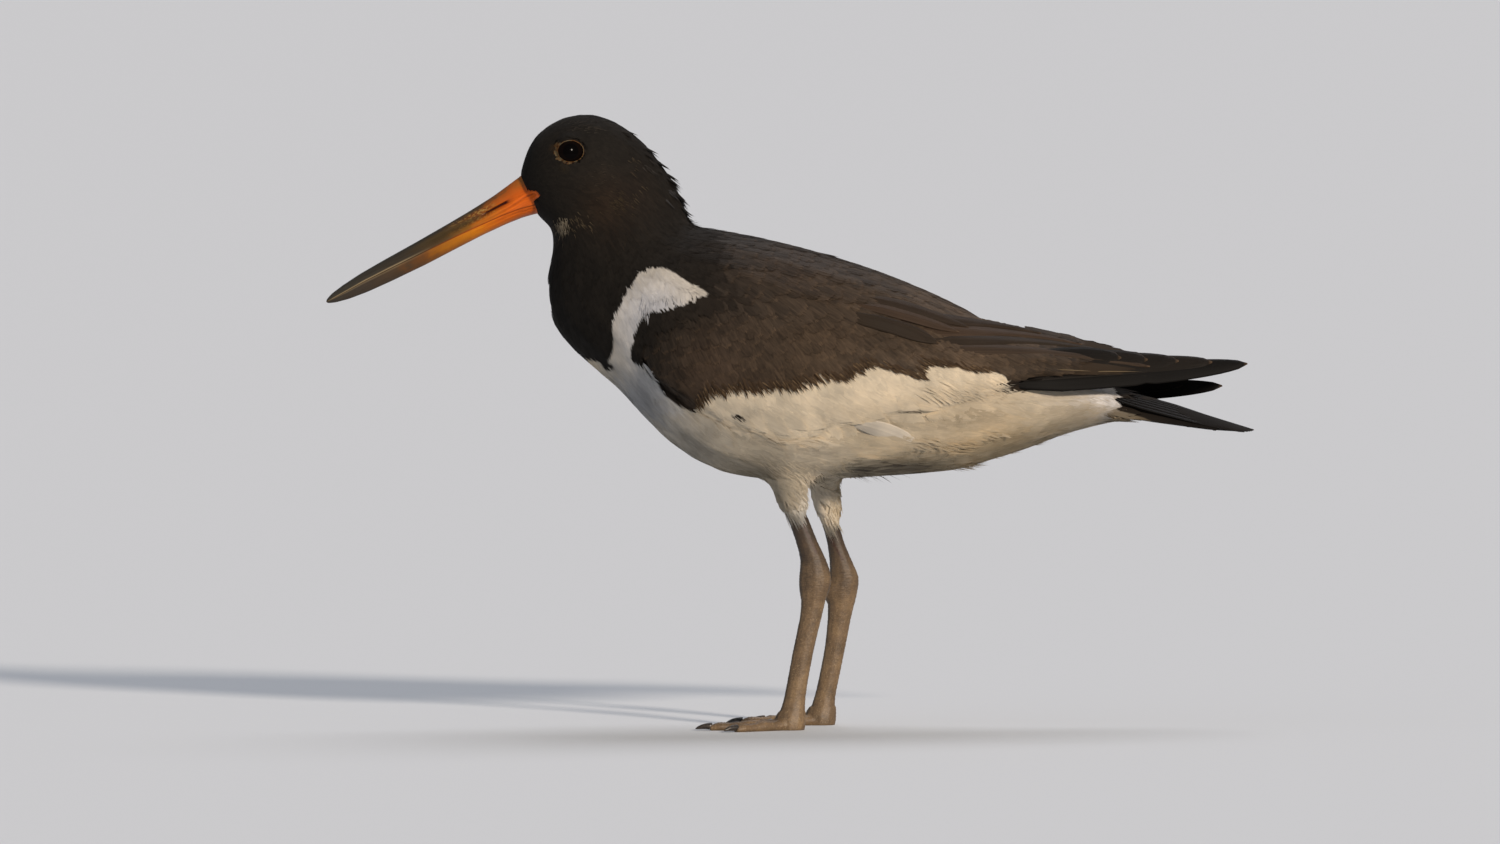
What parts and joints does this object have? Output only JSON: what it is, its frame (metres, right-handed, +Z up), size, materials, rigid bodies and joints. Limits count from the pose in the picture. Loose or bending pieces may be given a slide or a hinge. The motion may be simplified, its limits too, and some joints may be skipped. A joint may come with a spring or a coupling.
{
  "type": "oystercatcher model",
  "caption": "Life-size still model of a black, brown and white wading bird that stands on its own feet, with a long straight orange and dusky bill and folded wings.",
  "frame": {"origin": "on the floor, under the middle of the bird's bounding box", "axes": "+X from the bill towards the tail, +Y towards the bird's right side, +Z up; the bird faces -X"},
  "size_m": [0.3624, 0.097, 0.2392],
  "materials": {
    "black_plumage": "soft black feathers with a faint brown cast",
    "brown_plumage": "dark brown feathers with paler worn edges",
    "white_plumage": "soft warm white feathers",
    "orange_bill": "smooth horn, orange at the base and dusky towards the tip",
    "dusky_bill": "smooth horn, yellow-orange at the base and dusky towards the tip",
    "leg_skin": "fine-scaled dull greyish brown skin",
    "claw_horn": "blackish horn",
    "eye_gloss": "wet gloss, very dark brown"
  },
  "bodies": {
    "root": {"head": "black_plumage", "neck": "black_plumage", "trunk": "white_plumage", "tail": "black_plumage", "wing_left": "brown_plumage", "wing_right": "brown_plumage", "primaries_left": "black_plumage", "primaries_right": "black_plumage", "bill_upper": "orange_bill", "bill_lower": "dusky_bill", "eye_left": "eye_gloss", "eye_right": "eye_gloss", "thigh_left": "white_plumage", "thigh_right": "white_plumage", "shank_left": "leg_skin", "shank_right": "leg_skin", "tarsus_left": "leg_skin", "tarsus_right": "leg_skin", "foot_left": "leg_skin", "foot_right": "leg_skin", "claw_inner_left": "claw_horn", "claw_middle_left": "claw_horn", "claw_outer_left": "claw_horn", "claw_inner_right": "claw_horn", "claw_middle_right": "claw_horn", "claw_outer_right": "claw_horn"}
  },
  "joints": []
}
